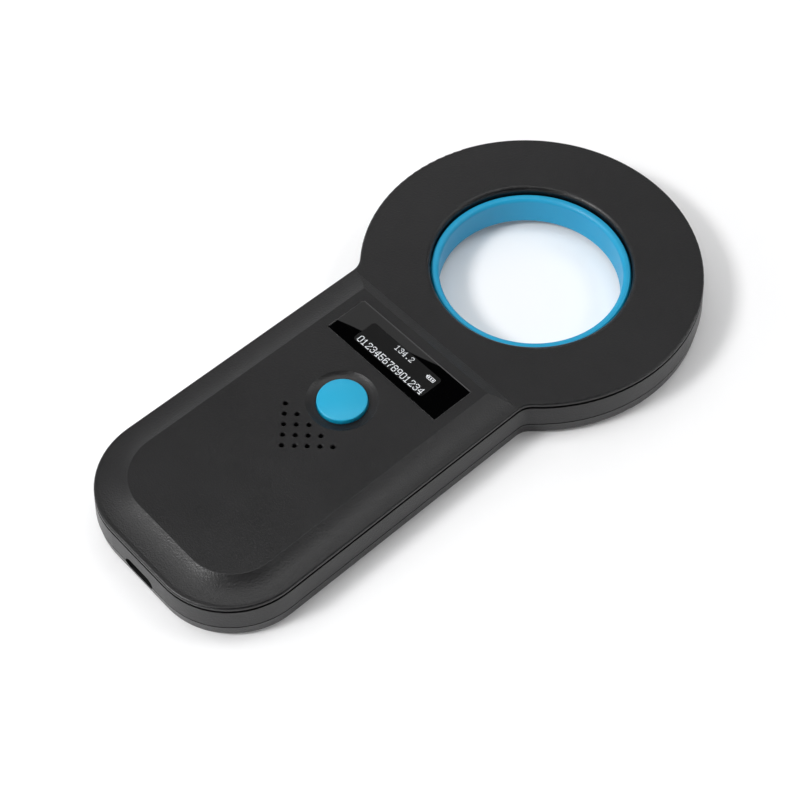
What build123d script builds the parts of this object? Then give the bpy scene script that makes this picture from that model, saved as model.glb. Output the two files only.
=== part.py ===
"""Hand-held microchip reader: a flat antenna ring on a paddle handle, +Z up, resting on its back.

The origin is the middle of the footprint at table level. The ring is at +Y and the handle at -Y.
"""
import os
from math import atan, degrees, sqrt

from build123d import *

# Overall form, in millimetres
ring_r = 41.0  # outer radius of the antenna ring
handle_half = 27.8  # half the handle's width
handle_reach = 118.4  # ring centre to the handle's end
handle_corner_r = 18.6  # plan radius of the two end corners
neck_r = 5.0  # plan fillet where ring and handle meet
rim_z = 11.4  # height of the ring face, and of the rim all round
flare = 0.6  # how much wider the sides are at the parting plane than at the rim
parting_z = 4.6  # plane where the two covers meet
plateau_rise = 1.6  # how far the control panel stands above the rim
shoulder_w = 7.0  # plan width of the sloping shoulder beside the panel
end_land = 0.7  # flat strip between the rim and the shoulder at the handle's end
ring_slope_run = 3.0  # plan width of the panel's short slope towards the ring
slope_foot_gap = 1.95  # from the neck crossing down to that slope's foot

# Covers
side_wall = 2.0
top_wall = 1.6
floor_wall = 1.8
rim_edge_r = 0.5
base_edge_r = 1.8
panel_edge_r = 0.35
cove_sag = 0.3  # depth of the shoulder's hollow below its chord
groove_drop = 0.8  # from the rim down to the shadow groove
groove_h = 0.7
groove_depth = 0.7
seam_h = 0.35  # fine dark line along the parting plane
seam_depth = 0.4
panel_cavity_margin = 0.8  # cover left between the panel's edge and the cavity under it
tongue_t = 1.0  # locating lip of the lower cover
tongue_h = 1.2
root = 0.5  # how far bosses, posts and ribs run into the wall that they stand on
fit_gap = 0.1  # locating clearance between covers

# Bore trim ring
bore_r = 22.0  # the open hole
bore_ring_wall = 1.9
bore_gap = 0.35  # shadow line between trim ring and cover
bore_ring_drop = 1.6  # trim ring below the ring face, and above the back
bore_ring_round = 1.0  # rounding of its inner edges
bore_edge_r = 1.1  # rounding of the covers' edges round the hole
bore_flange_w = 2.0
bore_flange_t = 1.4
bore_lip_t = 1.75
bore_ring_chamfer = 0.3  # its outer edges

# Display
window_l = 36.2
window_w = 11.4
window_t = 1.0
window_to_slope = 2.4  # from the window's edge to the top of the ring-side slope
window_corner_r = 0.5
window_gap = 0.1
window_sink = 0.05  # the glass lies a hair below the panel
window_ledge = 1.2
window_chamfer = 0.15
oled_l, oled_w, oled_t = 30.0, 11.5, 1.45
gasket_t = 0.4
gasket_frame = 1.6
carrier_wall = 0.8
carrier_ledge = 1.0  # what the display's edge rests on
carrier_gap = 0.05  # round the display glass
carrier_drop = 0.3  # from the gasket down to the carrier's top
flex_w, flex_t = 11.0, 0.15
flex_reach = 0.75  # how far the tail stands off the glass where it turns under
flex_bend_r = 0.45
flex_foot = 5.0  # length that lies on the board, under the display

# Button and switch
button_to_window = 17.1  # button centre to the window's middle
button_r = 5.8
button_gap = 0.25
button_proud = 0.35  # straight side above the panel
button_crown = 0.55  # dome on top of that
button_rim_r = 0.3
button_flange_w = 1.1
button_flange_t = 0.8
button_float = 0.1  # flange to cover
button_travel = 0.5
dish_r = 8.3
dish_depth = 0.7
dish_sag = 0.12
switch_side = 6.0
switch_h = 2.5
plunger_r = 1.5
plunger_gap = 0.08
plunger_stem = 0.6  # length guided inside the switch
stem_r = 1.9
well_spare = 0.1  # room under the pressed plunger

# Sounder
grille_to_button = 9.8  # button centre to the grille's first row
grille_rows = 5  # five holes in the first row, one fewer in each next
grille_pitch = 4.03
grille_row_pitch = 2.0
grille_hole_r = 0.55
grille_chamfer = 0.12
buzzer_r = 6.8
buzzer_h = 2.5
buzzer_port_r = 1.2
buzzer_chamfer = 0.4
buzzer_floor = 1.0
mesh_margin = 1.4  # felt beyond the outermost holes' centres
mesh_t = 0.3

# Circuit board and what it carries
board_t = 1.0
board_half = 18.8
board_wall_gap = 0.4
board_to_former = 0.9
usb_w, usb_h, usb_l = 8.94, 3.2, 7.35
usb_skin = 0.3
usb_gap = 0.18
usb_recess = 1.3
usb_tongue_w, usb_tongue_t, usb_tongue_l = 6.7, 0.7, 5.0
chip_side, chip_t = 7.0, 1.4
charger_l, charger_w, charger_t = 4.9, 3.9, 1.5
crystal_l, crystal_w, crystal_t = 3.2, 2.5, 0.8
inductor_side, inductor_t = 4.0, 2.0
capacitor_l, capacitor_w, capacitor_t = 1.6, 0.8, 0.8
capacitor_rows, capacitor_columns, capacitor_pitch = 2, 5, 2.2
# places on the board: X, and the share of the way from the sounder to the charging port
reader_chip_place = (-9.5, 0.526)
mcu_chip_place = (9.5, 0.234)
charger_chip_place = (4.0, 0.753)
crystal_place = (9.5, 0.494)
inductor_place = (-4.0, 0.786)
capacitor_place = (-15.0, 0.201)

# Battery
battery_w, battery_t = 34.0, 3.6
battery_to_screws = 1.2  # cell's end to the heads of the board screws beside the display
battery_edge_r = 1.2
pad_t = 0.4
pad_margin = 3.0  # cell left bare round the pad
battery_to_usb = 7.0
battery_rib_t, battery_rib_h, battery_rib_gap = 1.0, 2.0, 0.3
connector_l, connector_w, connector_h = 6.0, 4.0, 3.0
connector_x = -9.0
connector_to_cell = 2.2
lead_r = 0.55
lead_pitch = 2.0

# Antenna
# the winding's bore and rim stand off the trim flange and the covers' lip by these shares of the room between
former_in_share, former_out_share = 0.279, 0.206
display_to_former = 1.1  # least gap between the display's carrier and the former
former_web = 1.5
former_flange = 0.8
former_h = 6.6
former_lift = 0.8  # height of the seat rib that carries the former
coil_margin = 0.6
antenna_lead_r = 0.3
antenna_lead_pitch = 5.0
antenna_lead_l = 5.0
contact_gap = 0.02

# Fasteners
boss_r = 2.6
boss_to_wall = 0.2
pillar_r = 3.2
screw_r, screw_l = 1.05, 6.0
screw_head_r, screw_head_h = 2.0, 1.3
screw_seat_z = 2.4
counterbore_gap = 0.3
clearance_hole_gap = 0.25
post_r = 2.2
board_screw_r, board_screw_l = 0.9, 4.0
board_head_r, board_head_h = 1.7, 1.0
pilot_spare = 0.6
post_to_edge = 0.4  # post to the board's edge
post_to_port = 0.2
post_to_carrier = 0.5
end_post_x = 14.5
head_chamfer = 0.3  # share of a screw head's height

# Label in a shallow recess of the lower cover
label_l, label_w, label_t = 30.0, 20.0, 0.2
label_recess = 0.3
label_gap = 0.3
label_corner_r = 1.5
label_y = -22.0

# Places that follow from the sizes above
ring_y = (handle_reach - ring_r) / 2
end_y = ring_y - handle_reach
plateau_z = rim_z + plateau_rise
cavity_z = rim_z - top_wall
panel_cavity_z = plateau_z - top_wall
neck_y = ring_y - sqrt(ring_r**2 - handle_half**2)
winding_low_r = bore_r + bore_ring_wall + bore_gap + bore_flange_w
winding_high_r = ring_r - side_wall - fit_gap - tongue_t
former_in_r = winding_low_r + former_in_share * (winding_high_r - winding_low_r)
former_out_r = winding_high_r - former_out_share * (winding_high_r - winding_low_r)
# the panel's foot clears the neck, and the display under the panel clears the winding
carrier_to_foot = ring_slope_run + window_to_slope + (window_w - oled_w) / 2 - carrier_wall
slope_foot_y = min(neck_y - slope_foot_gap, ring_y - former_out_r - display_to_former + carrier_to_foot)
slope_top_y = slope_foot_y - ring_slope_run
window_y = slope_top_y - window_to_slope - window_w / 2
button_y = window_y - button_to_window
grille_y = button_y - grille_to_button
buzzer_y = grille_y - grille_row_pitch * (grille_rows - 1) / 3
board_under_z = parting_z + usb_h / 2
board_top_z = board_under_z + board_t
board_inset = side_wall + fit_gap + tongue_t + board_wall_gap
board_ring_y = ring_y - former_out_r - board_to_former
usb_mouth_y = end_y - flare + usb_recess
battery_z = floor_wall + pad_t
former_z = floor_wall + former_lift
bore_cut_r = bore_r + bore_ring_wall + bore_gap
draft = degrees(atan(flare / (rim_z - parting_z)))
flange_z = parting_z + tongue_h
boss_x = handle_half - side_wall - fit_gap - tongue_t - boss_to_wall - boss_r
boss_places = [(side * boss_x, y) for y in (end_y + handle_corner_r, window_y + window_w / 2)
               for side in (-1, 1)]
post_x = board_half - post_r - post_to_edge
post_end_y = usb_mouth_y + usb_l + post_to_port
post_ring_y = window_y - oled_w / 2 - carrier_wall - post_r - post_to_carrier
post_places = [(-end_post_x, post_end_y), (end_post_x, post_end_y),
               (-post_x, post_ring_y), (post_x, post_ring_y)]
battery_low_y = usb_mouth_y + usb_l + battery_to_usb
battery_l = post_ring_y - board_head_r - battery_to_screws - battery_low_y
battery_y = battery_low_y + battery_l / 2
parts_y = buzzer_y - buzzer_r  # the sounder's edge
parts_room = parts_y - (usb_mouth_y + usb_l)


def outline(inset=0.0):
    """Plan of the whole reader, moved inwards by inset."""
    ring = Pos(0, ring_y) * Circle(ring_r - inset)
    half = handle_half - inset
    low_y = end_y + inset
    paddle = Pos(0, (low_y + ring_y) / 2) * Rectangle(2 * half, ring_y - low_y)
    face = ring + paddle
    face = fillet(face.vertices().sort_by(Axis.Y)[:2], handle_corner_r - inset)
    crossing = ring_y - sqrt((ring_r - inset) ** 2 - half**2)
    necks = [v for v in face.vertices() if abs(v.Y - crossing) < 0.01]
    return fillet(necks, neck_r + inset)


def slab(face, low_z, high_z):
    """The face extruded from low_z to high_z."""
    return extrude(Pos(0, 0, low_z) * face, high_z - low_z)


def drafted(face, low_z, height, direction):
    """The face extruded up or down from low_z with the covers' draft, getting smaller."""
    return extrude(Pos(0, 0, low_z) * face, height, dir=(0, 0, direction), taper=draft)


def column(x, y, radius, low_z, high_z):
    return Pos(x, y, (low_z + high_z) / 2) * Cylinder(radius, high_z - low_z)


def block(x, y, length_x, length_y, low_z, high_z):
    return Pos(x, y, (low_z + high_z) / 2) * Box(length_x, length_y, high_z - low_z)


def part_of(face, low_y, high_y):
    """The stretch of a plan face between two Y values."""
    return face & (Pos(0, (low_y + high_y) / 2) * Rectangle(4 * ring_r, high_y - low_y))


def usb_slot(gap, length, start_y):
    """Rounded slot of the charging port, grown by gap, running in from start_y."""
    section = SlotOverall(usb_w + 2 * gap, usb_h + 2 * gap)
    port = Plane(origin=(0, start_y, parting_z), x_dir=(1, 0, 0), z_dir=(0, 1, 0))
    return extrude(port * section, length)


def hole_edge(shape, z):
    """Rim of the hole through the antenna ring at height z."""
    rims = shape.edges().filter_by(GeomType.CIRCLE).filter_by_position(Axis.Z, z - 0.01, z + 0.01)
    return [edge for edge in rims if abs(edge.radius - bore_cut_r) < 0.01]


def lip_face():
    """Plan of the lip round the hole, which each cover holds the trim ring's flange with."""
    return Pos(0, ring_y) * (Circle(bore_cut_r + bore_lip_t) - Circle(bore_cut_r))


def control_panel():
    """Raised panel of the handle, with its hollow shoulder and its slope towards the ring."""
    foot_half = handle_half - rim_edge_r
    foot_y = end_y + rim_edge_r
    run = shoulder_w - rim_edge_r
    panel = slab(part_of(outline(rim_edge_r), end_y, slope_foot_y), rim_z - rim_edge_r, plateau_z)

    start_y = slope_foot_y + 2
    low_y = foot_y + end_land
    path = FilletPolyline(
        (foot_half, start_y), (foot_half, low_y), (-foot_half, low_y), (-foot_half, start_y),
        radius=handle_corner_r - rim_edge_r,
    )
    chord = sqrt(run**2 + plateau_rise**2)
    middle = (run / 2 + cove_sag * plateau_rise / chord, plateau_rise / 2 - cove_sag * run / chord)
    hollow = ThreePointArc((0, 0), middle, (run, plateau_rise))
    above = Polyline((run, plateau_rise), (run, plateau_rise + 1),
                     (-end_land - 2, plateau_rise + 1), (-end_land - 2, 0), (0, 0))
    inwards = Plane(origin=(foot_half, start_y, rim_z), x_dir=(-1, 0, 0), z_dir=(0, 1, 0))
    cove = sweep(inwards * make_face(hollow + above), path=Pos(0, 0, rim_z) * path)
    panel -= cove

    slope = Polyline(
        (slope_foot_y, rim_z),
        (slope_top_y - ring_slope_run / plateau_rise, plateau_z + 1),
        (slope_foot_y + 1, plateau_z + 1),
        (slope_foot_y + 1, rim_z),
        close=True,
    )
    side_view = Plane(origin=(-ring_r, 0, 0), x_dir=(0, 1, 0), z_dir=(1, 0, 0))
    panel -= extrude(side_view * make_face(slope), 2 * ring_r)
    crest = panel.edges().filter_by_position(Axis.Z, plateau_z - 0.01, plateau_z + 0.01)
    return fillet(crest, panel_edge_r)


def make_top_cover():
    body = drafted(outline(-flare), parting_z, rim_z - parting_z, 1)
    body = fillet(body.edges().group_by(Axis.Z)[-1], rim_edge_r)
    body -= column(0, ring_y, bore_cut_r, 0, rim_z + 1)
    body = fillet(hole_edge(body, rim_z), bore_edge_r)
    cover = body + control_panel()
    groove_top = rim_z - groove_drop
    cover -= slab(outline(-flare - 1) - outline(groove_depth), groove_top - groove_h, groove_top)

    # cavity: low under the ring, higher under the panel
    cover -= slab(outline(side_wall), parting_z, cavity_z)
    under_panel = part_of(outline(shoulder_w + panel_cavity_margin), end_y, slope_top_y - panel_cavity_margin)
    cover -= slab(under_panel, cavity_z - 1, panel_cavity_z)

    # lip that holds the trim ring down
    cover += slab(lip_face(), flange_z + bore_flange_t, cavity_z)

    # window seat with a ledge, and the opening to the display
    seat = RectangleRounded(window_l + 2 * window_gap, window_w + 2 * window_gap, window_corner_r)
    cover -= slab(Pos(0, window_y) * seat, plateau_z - window_t - window_sink, plateau_z + 1)
    opening = RectangleRounded(window_l - 2 * window_ledge, window_w - 2 * window_ledge, window_corner_r)
    cover -= slab(Pos(0, window_y) * opening, cavity_z, plateau_z)

    # finger dish and button hole
    edge = (dish_r, 0)
    floor = (button_r + button_gap, -dish_depth)
    halfway = ((edge[0] + floor[0]) / 2 + dish_sag, -dish_depth / 2 - dish_sag)
    dish = ThreePointArc(edge, halfway, floor) + Polyline(floor, (0, -dish_depth), (0, 1), (dish_r, 1), edge)
    dish_plane = Plane(origin=(0, button_y, plateau_z), x_dir=(1, 0, 0), z_dir=(0, -1, 0))
    dish_axis = Axis((0, button_y, plateau_z), (0, 0, 1))
    cover -= revolve(dish_plane * make_face(dish), dish_axis)
    cover -= column(0, button_y, button_r + button_gap, cavity_z, plateau_z)

    # sounder grille, a triangle of holes that points at the handle's end
    for row in range(grille_rows):
        count = grille_rows - row
        for place in range(count):
            x = (place - (count - 1) / 2) * grille_pitch
            cover -= column(x, grille_y - row * grille_row_pitch, grille_hole_r, cavity_z, plateau_z + 1)
    rims = cover.edges().filter_by(GeomType.CIRCLE)
    rims = rims.filter_by_position(Axis.Z, plateau_z - 0.01, plateau_z + 0.01)
    cover = chamfer([edge for edge in rims if abs(edge.radius - grille_hole_r) < 0.01], grille_chamfer)

    # screw bosses and board posts with their pilot holes
    for x, y in boss_places:
        cover += column(x, y, boss_r, parting_z, cavity_z + root)
        cover -= column(x, y, screw_r + contact_gap, parting_z, screw_seat_z + screw_l + pilot_spare)
    for x, y in post_places:
        cover += column(x, y, post_r, board_top_z, panel_cavity_z + root)
        tip_z = board_under_z + board_screw_l
        cover -= column(x, y, board_screw_r + contact_gap, board_top_z, tip_z + pilot_spare)
    return cover - usb_slot(usb_gap, 2 * side_wall, end_y - 1)


def make_bottom_cover():
    cover = drafted(outline(-flare), parting_z, parting_z, -1)
    cover = fillet(cover.edges().group_by(Axis.Z)[0], base_edge_r)
    cover -= column(0, ring_y, bore_cut_r, -1, parting_z + 1)
    cover = fillet(hole_edge(cover, 0), bore_edge_r)
    cover -= slab(outline(-flare - 1) - outline(seam_depth - flare), parting_z - seam_h, parting_z)
    wall = side_wall + fit_gap
    cover -= slab(outline(wall), floor_wall, parting_z)
    tongue = outline(wall) - outline(wall + tongue_t)
    cover += slab(tongue, floor_wall, parting_z + tongue_h)

    # lip under the trim ring's flange, seat for the coil former
    cover += slab(lip_face(), floor_wall, flange_z)
    seat_middle = (former_in_r + former_out_r) / 2
    seat = Circle(seat_middle + 1) - Circle(seat_middle - 1)
    cover += slab(Pos(0, ring_y) * seat, floor_wall - root, former_z)

    # low fence that keeps the cell in place
    fence_l, fence_w = battery_l + 2 * battery_rib_gap, battery_w + 2 * battery_rib_gap
    fence = Rectangle(fence_w + 2 * battery_rib_t, fence_l + 2 * battery_rib_t) - Rectangle(fence_w, fence_l)
    gate = Pos(0, -fence_l / 2) * Rectangle(fence_w / 2, 4 * battery_rib_t)
    cover += slab(Pos(0, battery_y) * (fence - gate), floor_wall - root, floor_wall + battery_rib_h)

    for x, y in boss_places:
        cover += column(x, y, pillar_r, floor_wall - root, parting_z)
        cover -= column(x, y, screw_head_r + counterbore_gap, -1, screw_seat_z)
        cover -= column(x, y, screw_r + clearance_hole_gap, 0, parting_z + 1)
    recess = RectangleRounded(label_w + 2 * label_gap, label_l + 2 * label_gap, label_corner_r)
    cover -= slab(Pos(0, label_y) * recess, -1, label_recess)
    return cover - usb_slot(usb_gap, 2 * side_wall + tongue_t, end_y - 1)


def make_bore_ring():
    """Trim ring that lines the hole, caught between the covers by its flange."""
    outer = bore_r + bore_ring_wall
    height = rim_z - 2 * bore_ring_drop
    tube = Pos(outer - bore_ring_wall / 2, rim_z / 2) * Rectangle(bore_ring_wall, height)
    tube = fillet(tube.vertices().group_by(Axis.X)[0], bore_ring_round)
    tube = chamfer(tube.vertices().group_by(Axis.X)[-1], bore_ring_chamfer)
    flange_w = bore_gap + bore_flange_w + root
    flange_x = outer - root + flange_w / 2
    flange = Pos(flange_x, flange_z + bore_flange_t / 2) * Rectangle(flange_w, bore_flange_t)
    section = Plane(origin=(0, ring_y, 0), x_dir=(1, 0, 0), z_dir=(0, -1, 0)) * (tube + flange)
    return revolve(section, Axis((0, ring_y, 0), (0, 0, 1)))


def make_display_window():
    glass = slab(Pos(0, window_y) * RectangleRounded(window_l, window_w, window_corner_r),
                 plateau_z - window_sink - window_t, plateau_z - window_sink)
    return chamfer(glass.edges().group_by(Axis.Z)[-1], window_chamfer)


def make_display_stack():
    """Gasket, display glass, its carrier and its flexible tail, from the cover down to the board."""
    gasket_z = panel_cavity_z - gasket_t
    opening = Rectangle(oled_l - 2 * gasket_frame, oled_w - 2 * gasket_frame)
    gasket = slab(Pos(0, window_y) * (Rectangle(oled_l, oled_w) - opening), gasket_z, panel_cavity_z)
    panel = block(0, window_y, oled_l, oled_w, gasket_z - oled_t, gasket_z)
    carrier_face = Rectangle(oled_l + 2 * carrier_wall, oled_w + 2 * carrier_wall)
    carrier = slab(Pos(0, window_y) * carrier_face, board_top_z, gasket_z - carrier_drop)
    inner_l, inner_w = oled_l - 2 * carrier_ledge, oled_w - 2 * carrier_ledge
    carrier -= block(0, window_y, inner_l, inner_w, board_top_z, gasket_z)
    nest_l, nest_w = oled_l + 2 * carrier_gap, oled_w + 2 * carrier_gap
    carrier -= block(0, window_y, nest_l, nest_w, gasket_z - oled_t, gasket_z)
    doorway_w = 4 * (carrier_wall + carrier_gap)
    carrier -= block(0, window_y - oled_w / 2, flex_w + 1, doorway_w, board_top_z, gasket_z)

    # the tail leaves the glass at its button side, turns under and reaches the board
    edge_y = window_y - oled_w / 2
    out_y = edge_y - flex_reach
    high, low = gasket_z - 2 / 3 * oled_t, board_top_z + flex_t / 2 + contact_gap
    start_y = edge_y - flex_t / 2 - contact_gap
    run = FilletPolyline((start_y, high), (out_y, high), (out_y, low), (edge_y + flex_foot, low),
                         radius=flex_bend_r)
    side_view = Plane(origin=(-flex_w / 2, 0, 0), x_dir=(0, 1, 0), z_dir=(1, 0, 0))
    ribbon = offset(run, flex_t / 2, side=Side.BOTH, kind=Kind.ARC)
    tail = extrude(side_view * make_face(ribbon), flex_w)
    return {"display_gasket": gasket, "oled_panel": panel, "display_carrier": carrier, "oled_flex": tail}


def make_button():
    """Domed cap, its retaining flange and the stem that meets the switch."""
    flange_top = panel_cavity_z - button_float
    flange_z0 = flange_top - button_flange_t
    stem_z = board_top_z + switch_h + button_travel + plunger_gap * 2
    shoulder_z = plateau_z + button_proud
    profile = Polyline((0, stem_z), (stem_r, stem_z), (stem_r, flange_z0),
                       (button_r + button_flange_w, flange_z0), (button_r + button_flange_w, flange_top),
                       (button_r, flange_top), (button_r, shoulder_z))
    dome = ThreePointArc((button_r, shoulder_z), (button_r / 2, shoulder_z + button_crown * 3 / 4),
                         (0, shoulder_z + button_crown))
    section = make_face(profile + dome + Line((0, shoulder_z + button_crown), (0, stem_z)))
    plane = Plane(origin=(0, button_y, 0), x_dir=(1, 0, 0), z_dir=(0, -1, 0))
    cap = revolve(plane * section, Axis((0, button_y, 0), (0, 0, 1)))
    rim = cap.edges().filter_by_position(Axis.Z, shoulder_z - 0.01, shoulder_z + 0.01)
    return fillet(rim, button_rim_r), stem_z


def make_switch(stem_z):
    """Tact switch: a square body and the plunger that slides in it."""
    top = board_top_z + switch_h
    body = block(0, button_y, switch_side, switch_side, board_top_z, top)
    well_z = top - plunger_stem - button_travel - well_spare
    body -= column(0, button_y, plunger_r + plunger_gap, well_z, top + 1)
    plunger = column(0, button_y, plunger_r, top - plunger_stem, stem_z)
    return body, plunger


def make_board():
    board = slab(part_of(outline(board_inset), end_y, board_ring_y), board_under_z, board_top_z)
    board &= block(0, 0, 2 * board_half, 4 * ring_r, 0, plateau_z)
    for x, y in post_places:
        board -= column(x, y, board_screw_r + clearance_hole_gap, 0, plateau_z)
    return board


def make_usb_port():
    """Metal shell of the USB-C receptacle, and the contact tongue inside it."""
    shell = usb_slot(0, usb_l, usb_mouth_y) - usb_slot(-usb_skin, usb_l - usb_skin, usb_mouth_y)
    start = usb_mouth_y + usb_l - usb_skin - usb_tongue_l
    tongue = block(0, start + usb_tongue_l / 2, usb_tongue_w, usb_tongue_l,
                   parting_z - usb_tongue_t / 2, parting_z + usb_tongue_t / 2)
    return shell, tongue


def make_buzzer():
    body = column(0, buzzer_y, buzzer_r, board_top_z, board_top_z + buzzer_h)
    body = chamfer(body.edges().group_by(Axis.Z)[-1], buzzer_chamfer)
    return body - column(0, buzzer_y, buzzer_port_r, board_top_z + buzzer_floor, board_top_z + buzzer_h + 1)


def make_buzzer_mesh():
    """Dust felt stuck under the grille."""
    length = (grille_rows - 1) * grille_pitch + 2 * mesh_margin
    width = (grille_rows - 1) * grille_row_pitch + 2 * mesh_margin
    middle_y = grille_y - (grille_rows - 1) * grille_row_pitch / 2
    return block(0, middle_y, length, width, panel_cavity_z - mesh_t, panel_cavity_z)


def make_battery():
    """Cell, its adhesive pad, its plug on the board's underside and the two leads between them."""
    cell = block(0, battery_y, battery_w, battery_l, battery_z, battery_z + battery_t)
    cell = fillet(cell.edges().filter_by(Axis.Y), battery_edge_r)
    pad_l, pad_w = battery_l - 2 * pad_margin, battery_w - 2 * pad_margin
    pad = block(0, battery_y, pad_w, pad_l, floor_wall, battery_z)
    near_y = battery_y - battery_l / 2
    plug_y = near_y - connector_to_cell - connector_w / 2
    plug = block(connector_x, plug_y, connector_l, connector_w, board_under_z - connector_h, board_under_z)
    leads = []
    for side in (-1, 1):
        x = connector_x + side * lead_pitch / 2
        lead_z = board_under_z - connector_h / 2
        start = Plane(origin=(x, plug_y + connector_w / 2, lead_z), z_dir=(0, 1, 0))
        leads.append(extrude(start * Circle(lead_r), near_y - plug_y - connector_w / 2))
    return {"battery_cell": cell, "battery_pad": pad, "battery_connector": plug,
            "battery_leads": Compound(leads)}


def make_antenna():
    """Winding in a U-section former, with the two ends that run under the board."""
    top_z = former_z + former_h
    web = Circle(former_in_r + former_web) - Circle(former_in_r)
    cheek = Circle(former_out_r) - Circle(former_in_r)
    former = slab(web, former_z, top_z) + slab(cheek, former_z, former_z + former_flange)
    former += slab(cheek, top_z - former_flange, top_z)
    turns = Circle(former_out_r - coil_margin) - Circle(former_in_r + former_web)
    coil = slab(turns, former_z + former_flange, top_z - former_flange)
    start_y = ring_y - former_out_r + coil_margin - contact_gap
    ends = []
    for side in (-1, 1):
        x = side * antenna_lead_pitch / 2
        lead_z = board_under_z - antenna_lead_r - contact_gap
        start = Plane(origin=(x, start_y, lead_z), z_dir=(0, -1, 0))
        ends.append(extrude(start * Circle(antenna_lead_r), antenna_lead_l))
    place = Pos(0, ring_y, 0)
    return {"coil_former": place * former, "antenna_coil": place * coil, "antenna_leads": Compound(ends)}


def make_small_parts():
    """Chips and passives on the board's upper side."""
    def part(place, length_x, length_y, height):
        x, share = place
        return block(x, parts_y - share * parts_room, length_x, length_y, board_top_z, board_top_z + height)

    first_x, first_share = capacitor_place
    capacitors = [part((first_x + i * capacitor_pitch, first_share + j * capacitor_pitch / parts_room),
                       capacitor_l, capacitor_w, capacitor_t)
                  for i in range(capacitor_columns) for j in range(capacitor_rows)]
    return {
        "reader_chip": part(reader_chip_place, chip_side, chip_side, chip_t),
        "mcu_chip": part(mcu_chip_place, chip_side, chip_side, chip_t),
        "charger_chip": part(charger_chip_place, charger_w, charger_l, charger_t),
        "crystal": part(crystal_place, crystal_l, crystal_w, crystal_t),
        "power_inductor": part(inductor_place, inductor_side, inductor_side, inductor_t),
        "chip_capacitors": Compound(capacitors),
    }


def screw(x, y, seat_z, radius, length, head_r, head_h):
    """Pan-head screw driven upwards, its head below seat_z, with a cross recess."""
    head = column(x, y, head_r, seat_z - head_h, seat_z)
    head = chamfer(head.edges().group_by(Axis.Z)[0], head_h * head_chamfer)
    shank = column(x, y, radius, seat_z, seat_z + length)
    slot_w = head_r / 3
    cross = block(x, y, head_r, slot_w, seat_z - head_h - 1, seat_z - head_h / 2)
    cross += block(x, y, slot_w, head_r, seat_z - head_h - 1, seat_z - head_h / 2)
    return head + shank - cross


def make_screws():
    housing = [screw(x, y, screw_seat_z, screw_r, screw_l, screw_head_r, screw_head_h)
               for x, y in boss_places]
    board = [screw(x, y, board_under_z, board_screw_r, board_screw_l, board_head_r, board_head_h)
             for x, y in post_places]
    return Compound(housing), Compound(board)


def make_label():
    face = RectangleRounded(label_w, label_l, label_corner_r)
    return slab(Pos(0, label_y) * face, label_recess - label_t, label_recess)


def build():
    nodes = {
        "top_cover": make_top_cover(),
        "bottom_cover": make_bottom_cover(),
        "bore_ring": make_bore_ring(),
        "display_window": make_display_window(),
        "main_board": make_board(),
        "buzzer_body": make_buzzer(),
        "buzzer_mesh": make_buzzer_mesh(),
        "rating_label": make_label(),
    }
    nodes.update(make_display_stack())
    nodes["button_cap"], stem_z = make_button()
    nodes["switch_body"], nodes["switch_plunger"] = make_switch(stem_z)
    nodes["usb_shell"], nodes["usb_tongue"] = make_usb_port()
    nodes.update(make_battery())
    nodes.update(make_antenna())
    nodes.update(make_small_parts())
    nodes["housing_screws"], nodes["board_screws"] = make_screws()
    return nodes


os.makedirs("parts", exist_ok=True)
for name, shape in build().items():
    export_step(shape, f"parts/{name}.step")
    print(name, "volume", round(shape.volume, 1))
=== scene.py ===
import random
from math import pi, radians

import bmesh
import bpy
from mathutils import Matrix, Vector


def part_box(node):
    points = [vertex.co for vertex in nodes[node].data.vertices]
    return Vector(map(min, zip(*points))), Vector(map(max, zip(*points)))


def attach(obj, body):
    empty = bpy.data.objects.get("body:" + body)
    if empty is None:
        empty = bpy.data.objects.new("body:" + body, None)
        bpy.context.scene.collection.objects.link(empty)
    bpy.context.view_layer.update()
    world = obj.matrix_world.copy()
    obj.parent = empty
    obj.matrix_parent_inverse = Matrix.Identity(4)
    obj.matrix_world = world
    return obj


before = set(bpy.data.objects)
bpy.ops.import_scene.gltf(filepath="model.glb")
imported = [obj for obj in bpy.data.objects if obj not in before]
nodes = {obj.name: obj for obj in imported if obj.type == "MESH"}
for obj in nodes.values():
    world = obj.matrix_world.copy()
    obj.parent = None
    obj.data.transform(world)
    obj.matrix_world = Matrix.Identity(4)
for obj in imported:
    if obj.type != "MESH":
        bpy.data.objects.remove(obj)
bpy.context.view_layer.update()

mm = 0.001


# Finishes. A finish is one Principled shader: a fine pattern for its surface, a broad one for its colour

patchLow, patchHigh = 0.35, 0.65  # the part of the broad pattern that carries the change of colour and gloss
waveRepeat = 0.314  # metres between the bands of a wave pattern at scale 1


def addNode(material, kind, inputs=(), **settings):
    node = material.node_tree.nodes.new(kind)
    for name, value in settings.items():
        setattr(node, name, value)
    for name, value in dict(inputs).items():
        node.inputs[name].default_value = value
    return node


def wire(material, source, target):
    material.node_tree.links.new(source, target)


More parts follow.
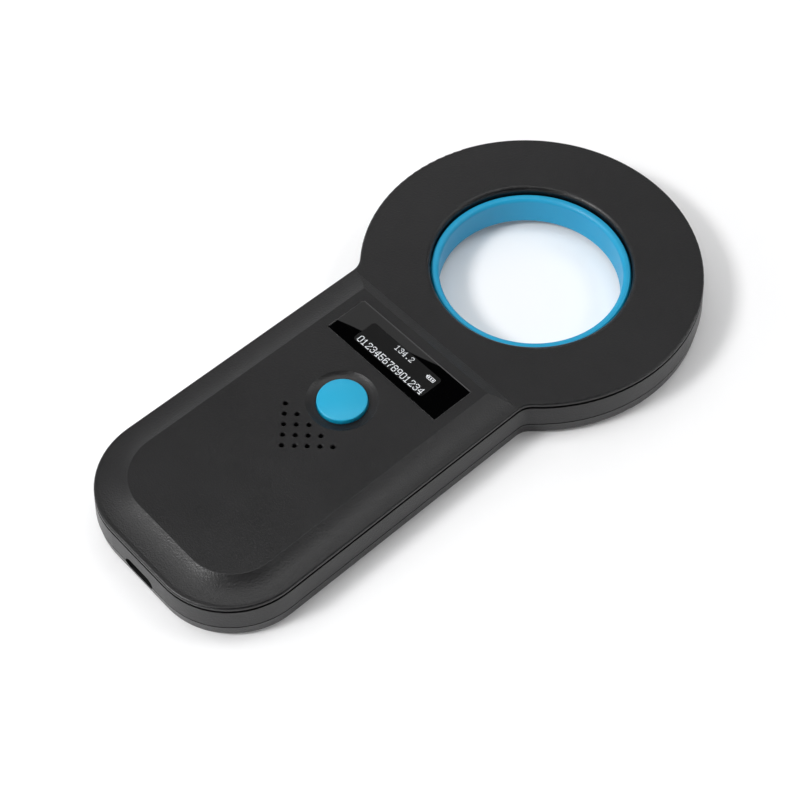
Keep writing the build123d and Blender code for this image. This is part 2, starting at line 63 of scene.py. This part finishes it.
def finePattern(material, look, coords):
    # the pattern that roughens the surface, as a height from 0 to 1; size is its repeat in metres
    kind, size = look["pattern"], look["size"]
    if kind == "grain":
        node = addNode(material, "ShaderNodeTexNoise", {"Scale": 1 / size, "Detail": 2.0, "Roughness": 0.6})
        height = node.outputs["Fac"]
    elif kind == "cells":
        node = addNode(material, "ShaderNodeTexVoronoi", {"Scale": 1 / size})
        height = node.outputs["Distance"]
    elif kind == "blocks":
        node = addNode(material, "ShaderNodeTexBrick", {"Scale": 1 / size, "Mortar Size": 0.06})
        height = node.outputs["Fac"]
    else:
        direction = {"layers": "Z", "brushed": "X", "ribs": "Y"}[kind]
        stretch = {"layers": 0.4, "brushed": 6.0, "ribs": 0.8}[kind]
        node = addNode(material, "ShaderNodeTexWave",
                       {"Scale": waveRepeat / size, "Distortion": stretch, "Detail": 2.0},
                       bands_direction=direction)
        height = node.outputs["Fac"]
    wire(material, coords, node.inputs["Vector"])
    return height


def makeFinish(name, look):
    material = bpy.data.materials.new(name)
    material.use_nodes = True
    shader = material.node_tree.nodes["Principled BSDF"]
    for socket, value in look.get("sockets", {}).items():
        shader.inputs[socket].default_value = value
    coords = addNode(material, "ShaderNodeTexCoord").outputs["Object"]
    height = finePattern(material, look, coords)
    bump = addNode(material, "ShaderNodeBump", {"Strength": 1.0, "Distance": look["depth"]})
    wire(material, height, bump.inputs["Height"])
    wire(material, bump.outputs["Normal"], shader.inputs["Normal"])

    broad = addNode(material, "ShaderNodeTexNoise", {"Scale": 1 / look["patch"], "Detail": 3.0})
    wire(material, coords, broad.inputs["Vector"])
    ramp = addNode(material, "ShaderNodeValToRGB")
    for stop, position, shade in zip(ramp.color_ramp.elements, (patchLow, patchHigh), ("dark", "light")):
        stop.position, stop.color = position, (*look[shade], 1)
    wire(material, broad.outputs["Fac"], ramp.inputs["Fac"])
    colour = ramp.outputs["Color"]
    if "lines" in look:  # the fine pattern shows in the colour too
        mix = addNode(material, "ShaderNodeMix", data_type="RGBA")
        mix.inputs["B"].default_value = (*look["lines"], 1)
        wire(material, height, mix.inputs["Factor"])
        wire(material, colour, mix.inputs["A"])
        colour = mix.outputs["Result"]
    wire(material, colour, shader.inputs["Base Color"])

    low, high = look["roughness"]
    spread = addNode(material, "ShaderNodeMapRange",
                     {"From Min": patchLow, "From Max": patchHigh, "To Min": low, "To Max": high})
    wire(material, broad.outputs["Fac"], spread.inputs["Value"])
    wire(material, spread.outputs["Result"], shader.inputs["Roughness"])
    return material


def giveFinish(finish, *names):
    for name in names:
        mesh = nodes[name].data
        mesh.materials.clear()
        mesh.materials.append(finish)


# Housing: near-black moulded plastic with a fine spark texture
shellLook = {
    "pattern": "grain", "size": 0.0004, "depth": 0.00007, "patch": 0.012,
    "dark": (0.0036, 0.0033, 0.0038), "light": (0.0046, 0.0043, 0.0049), "roughness": (0.32, 0.34),
    "sockets": {"IOR": 1.46},
}
giveFinish(makeFinish("shellBlack", shellLook), "top_cover", "bottom_cover")

# Satin blue trim and button
trimLook = {
    "pattern": "grain", "size": 0.0009, "depth": 0.000003, "patch": 0.02,
    "dark": (0.001, 0.30, 0.53), "light": (0.002, 0.325, 0.56), "roughness": (0.42, 0.48),
    "sockets": {"IOR": 1.5, "Subsurface Weight": 0.06, "Subsurface Scale": 0.002},
}
capLook = dict(trimLook, dark=(0.003, 0.34, 0.56), light=(0.005, 0.36, 0.585), roughness=(0.36, 0.42))
giveFinish(makeFinish("trimBlue", trimLook), "bore_ring")
giveFinish(makeFinish("capBlue", capLook), "button_cap")

# Window: polished black glass
windowLook = {
    "pattern": "grain", "size": 0.02, "depth": 0.000004, "patch": 0.03,
    "dark": (0.0004, 0.0004, 0.0005), "light": (0.0006, 0.0006, 0.0007), "roughness": (0.005, 0.01),
    "sockets": {"IOR": 1.52},
}
giveFinish(makeFinish("windowGlass", windowLook), "display_window")

# What lies inside, each with its own finish
insideLooks = {
    "oledGlass": (("oled_panel",), dict(
        windowLook, dark=(0.006, 0.006, 0.008), light=(0.009, 0.009, 0.011))),
    "solderMask": (("main_board",), {
        "pattern": "blocks", "size": 0.004, "depth": 0.00003, "patch": 0.01, "lines": (0.03, 0.22, 0.08),
        "dark": (0.008, 0.10, 0.035), "light": (0.012, 0.13, 0.045), "roughness": (0.25, 0.4)}),
    "soundBlack": (("buzzer_body",), dict(shellLook, size=0.0002, roughness=(0.5, 0.6))),
    "feltBlack": (("buzzer_mesh",), {
        "pattern": "cells", "size": 0.0004, "depth": 0.0001, "patch": 0.003,
        "dark": (0.006, 0.006, 0.006), "light": (0.014, 0.014, 0.014), "roughness": (0.9, 1.0)}),
    "foamBlack": (("display_gasket", "battery_pad"), {
        "pattern": "cells", "size": 0.0006, "depth": 0.00012, "patch": 0.004,
        "dark": (0.012, 0.012, 0.012), "light": (0.03, 0.03, 0.03), "roughness": (0.85, 0.95)}),
    "labelFilm": (("rating_label",), {
        "pattern": "grain", "size": 0.0008, "depth": 0.000004, "patch": 0.015,
        "dark": (0.50, 0.51, 0.52), "light": (0.56, 0.57, 0.58), "roughness": (0.35, 0.45),
        "sockets": {"Metallic": 0.3}}),
    "whiteMoulded": (("display_carrier", "switch_plunger", "battery_connector", "coil_former"), {
        "pattern": "grain", "size": 0.0006, "depth": 0.00001, "patch": 0.01,
        "dark": (0.62, 0.61, 0.57), "light": (0.72, 0.71, 0.67), "roughness": (0.4, 0.55)}),
    "flexAmber": (("oled_flex",), {
        "pattern": "brushed", "size": 0.0008, "depth": 0.00001, "patch": 0.006, "lines": (0.55, 0.24, 0.05),
        "dark": (0.36, 0.15, 0.02), "light": (0.46, 0.2, 0.03), "roughness": (0.25, 0.35)}),
    "switchMetal": (("switch_body",), {
        "pattern": "brushed", "size": 0.0003, "depth": 0.000008, "patch": 0.004,
        "dark": (0.55, 0.55, 0.56), "light": (0.66, 0.66, 0.67), "roughness": (0.28, 0.4),
        "sockets": {"Metallic": 1.0}}),
    "portSteel": (("usb_shell",), {
        "pattern": "ribs", "size": 0.0004, "depth": 0.000005, "patch": 0.004,
        "dark": (0.22, 0.22, 0.23), "light": (0.30, 0.30, 0.31), "roughness": (0.3, 0.42),
        "sockets": {"Metallic": 1.0}}),
    "tongueBlack": (("usb_tongue",), dict(shellLook, size=0.00015, roughness=(0.5, 0.6))),
    "cellFoil": (("battery_cell",), {
        "pattern": "grain", "size": 0.006, "depth": 0.0003, "patch": 0.012,
        "dark": (0.62, 0.62, 0.64), "light": (0.74, 0.74, 0.76), "roughness": (0.22, 0.34),
        "sockets": {"Metallic": 0.9}}),
    "leadRed": (("battery_leads",), {
        "pattern": "grain", "size": 0.0008, "depth": 0.00001, "patch": 0.004,
        "dark": (0.42, 0.015, 0.01), "light": (0.52, 0.03, 0.02), "roughness": (0.35, 0.45)}),
    "copperTurns": (("antenna_coil", "antenna_leads"), {
        "pattern": "layers", "size": 0.0003, "depth": 0.00006, "patch": 0.01, "lines": (0.62, 0.27, 0.10),
        "dark": (0.40, 0.14, 0.05), "light": (0.50, 0.19, 0.07), "roughness": (0.25, 0.35),
        "sockets": {"Metallic": 0.9}}),
    "chipBlack": (("reader_chip", "mcu_chip", "charger_chip"), {
        "pattern": "grain", "size": 0.00012, "depth": 0.000008, "patch": 0.004,
        "dark": (0.012, 0.012, 0.013), "light": (0.02, 0.02, 0.022), "roughness": (0.5, 0.65)}),
    "crystalCan": (("crystal",), {
        "pattern": "brushed", "size": 0.0002, "depth": 0.000005, "patch": 0.002,
        "dark": (0.62, 0.62, 0.63), "light": (0.75, 0.75, 0.76), "roughness": (0.2, 0.3),
        "sockets": {"Metallic": 1.0}}),
    "ferriteGrey": (("power_inductor",), {
        "pattern": "cells", "size": 0.0003, "depth": 0.00002, "patch": 0.002,
        "dark": (0.05, 0.05, 0.055), "light": (0.09, 0.09, 0.095), "roughness": (0.6, 0.75)}),
    "ceramicTan": (("chip_capacitors",), {
        "pattern": "grain", "size": 0.0002, "depth": 0.000006, "patch": 0.0015,
        "dark": (0.36, 0.26, 0.15), "light": (0.46, 0.35, 0.22), "roughness": (0.4, 0.5)}),
    "screwBlack": (("housing_screws",), {
        "pattern": "grain", "size": 0.0003, "depth": 0.00001, "patch": 0.002,
        "dark": (0.05, 0.05, 0.055), "light": (0.09, 0.09, 0.1), "roughness": (0.3, 0.42),
        "sockets": {"Metallic": 0.9}}),
    "screwSteel": (("board_screws",), {
        "pattern": "grain", "size": 0.0003, "depth": 0.00001, "patch": 0.002,
        "dark": (0.5, 0.5, 0.52), "light": (0.62, 0.62, 0.64), "roughness": (0.25, 0.38),
        "sockets": {"Metallic": 1.0}}),
}
for name, (members, look) in insideLooks.items():
    giveFinish(makeFinish(name, look), *members)
print("finishes given to", len(nodes), "nodes")


# Pieces modelled here

def finishPiece(name, shape, finish, body="housing"):
    bmesh.ops.recalc_face_normals(shape, faces=shape.faces)
    mesh = bpy.data.meshes.new(name)
    shape.to_mesh(mesh)
    shape.free()
    mesh.materials.append(finish)
    piece = bpy.data.objects.new(name, mesh)
    bpy.context.scene.collection.objects.link(piece)
    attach(piece, body)
    return piece


def addBlock(shape, centre, size):
    place = Matrix.Translation(centre) @ Matrix.Diagonal((*size, 1))
    bmesh.ops.create_cube(shape, size=1, matrix=place)


def roundedSheet(length, width, cornerRadius):
    shape = bmesh.new()
    bmesh.ops.create_grid(shape, x_segments=1, y_segments=1, size=0.5)
    bmesh.ops.scale(shape, vec=(length, width, 1), verts=shape.verts)
    bmesh.ops.bevel(shape, geom=shape.verts[:], offset=cornerRadius, segments=6, profile=0.5,
                    affect="VERTICES", material=-1)
    return shape


def thickenDown(shape, thickness, centre):
    # gives a sheet its thickness below, and moves it to its centre
    under = bmesh.ops.extrude_face_region(shape, geom=shape.faces[:])["geom"]
    lower = [v for v in under if isinstance(v, bmesh.types.BMVert)]
    bmesh.ops.translate(shape, vec=(0, 0, -thickness), verts=lower)
    bmesh.ops.translate(shape, vec=centre, verts=shape.verts)


# Dot-matrix figures, one byte for each row of a figure from its top
figureRows = {
    "0": "3c42424242424242423c", "1": "1030501010101010107c", "2": "3c42420204081020427e",
    "3": "3c4242021c020242423c", "4": "040c142424447e04041e", "5": "7e4040407c420242423c",
    "6": "1c2440405c624242423c", "7": "7e420404080810101010", "8": "3c4242423c424242423c",
    "9": "3c424242463a02022438", ".": "00000000000000001818",
}


def addFigures(shape, text, centre, look, mirror=1):
    # one small block for each dot; mirror -1 is for figures read from below
    dot, rows = look["dot"], len(figureRows["0"]) // 2
    cell = look["cell"]
    for place, figure in enumerate(text):
        left = (place - len(text) / 2) * cell
        for row, byte in enumerate(bytes.fromhex(figureRows[figure])):
            for column in range(8):
                if byte >> (7 - column) & 1:
                    x = left + (column + 0.5) * dot
                    y = (rows / 2 - row - 0.5) * dot
                    addBlock(shape, Vector(centre) + Vector((mirror * x, y, 0)),
                             (look["lit"], look["lit"], look["thickness"]))


windowLow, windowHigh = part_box("display_window")
windowMiddle = (windowLow + windowHigh) / 2
glassTop = windowHigh.z

# The display behind the window: a slightly lighter field, its figures and a battery sign
screen = {
    "length": 22.9 * mm, "width": 6.75 * mm, "corner": 0.8 * mm, "offset": (-0.15 * mm, -0.19 * mm),
    "thickness": 0.018 * mm, "proud": 0.012 * mm, "textShift": 0.1 * mm,
    "number": "012345678901234", "numberDrop": 2.2 * mm, "channel": "134.2", "channelRise": 2.25 * mm,
}
figures = {"dot": 0.185 * mm, "cell": 1.44 * mm, "lit": 0.19 * mm, "thickness": 0.006 * mm}
smallFigures = dict(figures, dot=0.15 * mm, cell=1.16 * mm, lit=0.155 * mm)
battery = {"x": 9.2 * mm, "rise": 1.8 * mm, "length": 2.2 * mm, "width": 1.05 * mm, "wall": 0.13 * mm,
           "pole": 0.28 * mm, "bars": 3, "fill": 0.5, "barClear": 0.13 * mm}

screenLook = dict(windowLook, dark=(0.0068, 0.0068, 0.007), light=(0.0078, 0.0078, 0.008),
                  roughness=(0.28, 0.34), sockets={"IOR": 1.5, "Specular IOR Level": 0.12})
litLook = {
    "pattern": "blocks", "size": 0.0006, "depth": 0.000001, "patch": 0.003,
    "dark": (0.42, 0.43, 0.44), "light": (0.46, 0.47, 0.48), "roughness": (0.3, 0.35),
    "sockets": {"Emission Color": (0.90, 0.95, 1.0, 1), "Emission Strength": 0.42},
}
litFinish = makeFinish("litDots", litLook)

screenX, screenY = windowMiddle.x + screen["offset"][0], windowMiddle.y + screen["offset"][1]
textX, fieldTop = screenX + screen["textShift"], glassTop + screen["proud"]
shape = roundedSheet(screen["length"], screen["width"], screen["corner"])
thickenDown(shape, screen["thickness"], (screenX, screenY, fieldTop))
finishPiece("screenField", shape, makeFinish("screenGrey", screenLook))

# The polished edge round the window, a narrow frame that slopes in from the panel to the glass
edge = {"over": 0.05 * mm, "width": 0.17 * mm, "outerRise": 0.045 * mm, "innerRise": -0.02 * mm,
        "thickness": 0.02 * mm, "corner": 0.55 * mm}
edgeLook = dict(windowLook, dark=(0.012, 0.012, 0.0125), light=(0.016, 0.016, 0.0165),
                roughness=(0.16, 0.2))
windowSize = windowHigh - windowLow
spread = 2 * edge["over"]
shape = roundedSheet(windowSize.x + spread, windowSize.y + spread, edge["corner"])
middle = shape.faces[:]
bmesh.ops.inset_region(shape, faces=middle, thickness=edge["width"], use_boundary=True,
                       use_even_offset=True)
inner = set(middle[0].verts)
outer = [v for v in shape.verts if v not in inner]
bmesh.ops.translate(shape, vec=(0, 0, edge["innerRise"]), verts=list(inner))
bmesh.ops.translate(shape, vec=(0, 0, edge["outerRise"]), verts=outer)
bmesh.ops.delete(shape, geom=middle, context="FACES_ONLY")
thickenDown(shape, edge["thickness"], (windowMiddle.x, windowMiddle.y, glassTop))
finishPiece("windowEdge", shape, makeFinish("edgeGrey", edgeLook))

shape = bmesh.new()
dotZ = fieldTop + figures["thickness"] / 3
addFigures(shape, screen["number"], (textX, screenY - screen["numberDrop"], dotZ), figures)
finishPiece("screenNumber", shape, litFinish)

shape = bmesh.new()
addFigures(shape, screen["channel"], (textX, screenY + screen["channelRise"], dotZ), smallFigures)
finishPiece("screenChannel", shape, litFinish)

shape = bmesh.new()
batteryX, batteryY = windowMiddle.x + battery["x"], screenY + battery["rise"]
halfL, halfW, wall = battery["length"] / 2, battery["width"] / 2, battery["wall"]
flat = figures["thickness"]
pitch = (battery["length"] - 2 * wall) / battery["bars"]
barWidth = battery["width"] - 2 * (wall + battery["barClear"])
for side in (-1, 1):
    addBlock(shape, (batteryX, batteryY + side * (halfW - wall / 2), dotZ), (battery["length"], wall, flat))
    addBlock(shape, (batteryX + side * (halfL - wall / 2), batteryY, dotZ),
             (wall, battery["width"] - 2 * wall, flat))
addBlock(shape, (batteryX - halfL - battery["pole"] / 2, batteryY, dotZ), (battery["pole"], halfW, flat))
for bar in range(battery["bars"]):
    barX = batteryX - halfL + wall + (bar + 0.5) * pitch
    addBlock(shape, (barX, batteryY, dotZ), (pitch * battery["fill"], barWidth, flat))
finishPiece("screenBattery", shape, litFinish)
print("display made")

# Gold contacts of the charging port
contacts = {"count": 12, "pitch": 0.5 * mm, "width": 0.27 * mm, "length": 3.4 * mm, "thickness": 0.03 * mm,
            "setBack": 0.35 * mm}
goldLook = {
    "pattern": "brushed", "size": 0.0002, "depth": 0.000004, "patch": 0.001,
    "dark": (0.72, 0.45, 0.14), "light": (0.82, 0.55, 0.2), "roughness": (0.22, 0.32),
    "sockets": {"Metallic": 1.0},
}
tongueLow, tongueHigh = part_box("usb_tongue")
shape = bmesh.new()
for z in (tongueLow.z, tongueHigh.z):
    for index in range(contacts["count"]):
        x = (index - (contacts["count"] - 1) / 2) * contacts["pitch"]
        y = tongueLow.y + contacts["setBack"] + contacts["length"] / 2
        addBlock(shape, (x, y, z), (contacts["width"], contacts["length"], contacts["thickness"]))
finishPiece("portContacts", shape, makeFinish("contactGold", goldLook))

# Printing on the back label: a bar code, blank fields and a serial number
labelLow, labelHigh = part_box("rating_label")
printing = {"margin": 2.0 * mm, "thickness": 0.02 * mm, "bars": 34, "barHeight": 5.0 * mm, "seed": 7,
            "barRise": 2.6 * mm, "number": "0123456789", "numberRise": 0.9 * mm, "rule": 0.18 * mm,
            "fields": 4, "fieldPitch": 3.3 * mm, "stub": (4 * mm, 0.7 * mm), "stubRise": 1 * mm}
inkLook = {
    "pattern": "grain", "size": 0.0004, "depth": 0.000003, "patch": 0.004,
    "dark": (0.015, 0.015, 0.016), "light": (0.022, 0.022, 0.023), "roughness": (0.5, 0.6),
}
labelX = (labelLow.x + labelHigh.x) / 2
labelWidth = labelHigh.x - labelLow.x - 2 * printing["margin"]
printZ = labelLow.z
shape = bmesh.new()
draw = random.Random(printing["seed"])
widths = [draw.choice((1, 1, 2, 3)) for _ in range(2 * printing["bars"] - 1)]
unit, place = labelWidth / sum(widths), labelX - labelWidth / 2
barsY = labelLow.y + printing["margin"] + printing["barRise"] + printing["barHeight"] / 2
for index, width in enumerate(widths):
    if index % 2 == 0:
        addBlock(shape, (place + width * unit / 2, barsY, printZ),
                 (width * unit, printing["barHeight"], printing["thickness"]))
    place += width * unit
for field in range(printing["fields"]):
    y = labelHigh.y - printing["margin"] - (field + 0.5) * printing["fieldPitch"]
    addBlock(shape, (labelX, y, printZ), (labelWidth, printing["rule"], printing["thickness"]))
    addBlock(shape, (labelX - (labelWidth - printing["stub"][0]) / 2, y + printing["stubRise"], printZ),
             (*printing["stub"], printing["thickness"]))
labelFigures = dict(figures, dot=0.15 * mm, cell=1.5 * mm, lit=0.15 * mm, thickness=printing["thickness"])
numberY = labelLow.y + printing["margin"] + printing["numberRise"]
addFigures(shape, printing["number"], (labelX, numberY, printZ), labelFigures, mirror=-1)
finishPiece("labelPrinting", shape, makeFinish("labelInk", inkLook))
print("port contacts and label printing made")


# Room, light and camera
room = {"radius": 1.7, "bend": 0.55, "wall": 1.05, "table": 0.5, "below": 0.05 * mm}
paperLook = {
    "pattern": "grain", "size": 0.002, "depth": 0.00001, "patch": 0.5,
    "dark": (0.89, 0.89, 0.895), "light": (0.91, 0.91, 0.915), "roughness": (0.8, 0.9),
    "sockets": {"IOR": 1.3, "Specular IOR Level": 0.2,
                "Emission Color": (1, 1, 1, 1), "Emission Strength": 0.09},
}
shape = bmesh.new()
corners = [shape.verts.new(co) for co in
           ((0, 0, 0), (room["table"], 0, 0), (room["radius"], 0, 0), (room["radius"], 0, room["wall"]))]
for pair in zip(corners, corners[1:]):
    shape.edges.new(pair)
bmesh.ops.bevel(shape, geom=[corners[2]], offset=room["bend"], segments=12, profile=0.5,
                affect="VERTICES", material=-1)
bmesh.ops.spin(shape, geom=shape.verts[:] + shape.edges[:], cent=(0, 0, 0), axis=(0, 0, 1),
               angle=2 * pi, steps=96, use_merge=True)
bmesh.ops.remove_doubles(shape, verts=shape.verts, dist=1e-5)
bmesh.ops.translate(shape, vec=(0, 0, -room["below"]), verts=shape.verts)
bmesh.ops.recalc_face_normals(shape, faces=shape.faces)
if sum(face.normal.z for face in shape.faces) < 0:  # the room is seen from its inside
    bmesh.ops.reverse_faces(shape, faces=shape.faces)
mesh = bpy.data.meshes.new("studioRoom")
shape.to_mesh(mesh)
shape.free()
for polygon in mesh.polygons:
    polygon.use_smooth = True
mesh.materials.append(makeFinish("studioPaper", paperLook))
studioRoom = bpy.data.objects.new("studioRoom", mesh)
bpy.context.scene.collection.objects.link(studioRoom)

# each lamp: centre, turn in degrees, size and brightness; the ones that hang level are squared to the camera
level = (0, 0, 47.374)
lamps = {
    "leftSoftbox": {"at": (-0.311, -0.929, 1.0), "turn": level, "size": (0.4, 0.35), "glow": 35.0},
    "overheadStrip": {"at": (-0.259, -0.06, 1.0), "turn": level, "size": (0.6, 0.35), "glow": 2.7},
    "nearSoftbox": {"at": (0.022, 0.319, 1.0), "turn": level, "size": (0.3, 0.28), "glow": 4.6},
    "leftPanel": {"at": (-0.689, -0.453, 1.0), "turn": level, "size": (0.6, 0.75), "glow": 1.8},
    "rightPanel": {"at": (0.462, 0.798, 1.0), "turn": level, "size": (0.4, 0.75), "glow": 3.8},
    "farPanel": {"at": (-1.148, 0.377, 1.0), "turn": level, "size": (1.2, 0.5), "glow": 0.5},
    "reflectorCard": {"at": (-0.468, 0.472, 0.643), "turn": (-34.78, -15.61, 28.37),
                      "size": (0.9, 0.3), "glow": 0.75},
}
for name, lamp in lamps.items():
    data = bpy.data.lights.new(name, "AREA")
    data.shape = "RECTANGLE"
    data.size, data.size_y = lamp["size"]
    data.energy = lamp["glow"] * pi * lamp["size"][0] * lamp["size"][1]
    made = bpy.data.objects.new(name, data)
    made.location = lamp["at"]
    made.rotation_euler = [radians(angle) for angle in lamp["turn"]]
    made.visible_camera = False
    bpy.context.scene.collection.objects.link(made)

world = bpy.data.worlds.new("studioAir")
world.use_nodes = True
air = world.node_tree.nodes["Background"]
air.inputs["Color"].default_value = (0.9, 0.95, 1.0, 1)
air.inputs["Strength"].default_value = 0.01
bpy.context.scene.world = world
bpy.context.scene.view_settings.view_transform = "Standard"

# The camera stands over the handle's right side and looks down at the table, placed from the ring's centre
view = {"fromRing": (0.17594, -0.20274, 0.33019), "turn": (35.466, 0.242, 47.374), "lens": 78.12,
        "sensor": 36, "nearest": 0.01}
ringLow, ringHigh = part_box("bore_ring")
ringCentre = (ringLow + ringHigh) / 2
cameraData = bpy.data.cameras.new("studioCamera")
cameraData.lens, cameraData.sensor_width = view["lens"], view["sensor"]
cameraData.clip_start = view["nearest"]
camera = bpy.data.objects.new("studioCamera", cameraData)
camera.location = Vector((ringCentre.x, ringCentre.y, 0)) + Vector(view["fromRing"])
camera.rotation_euler = [radians(angle) for angle in view["turn"]]
bpy.context.scene.collection.objects.link(camera)
bpy.context.scene.camera = camera
print("room, lamps and camera made")
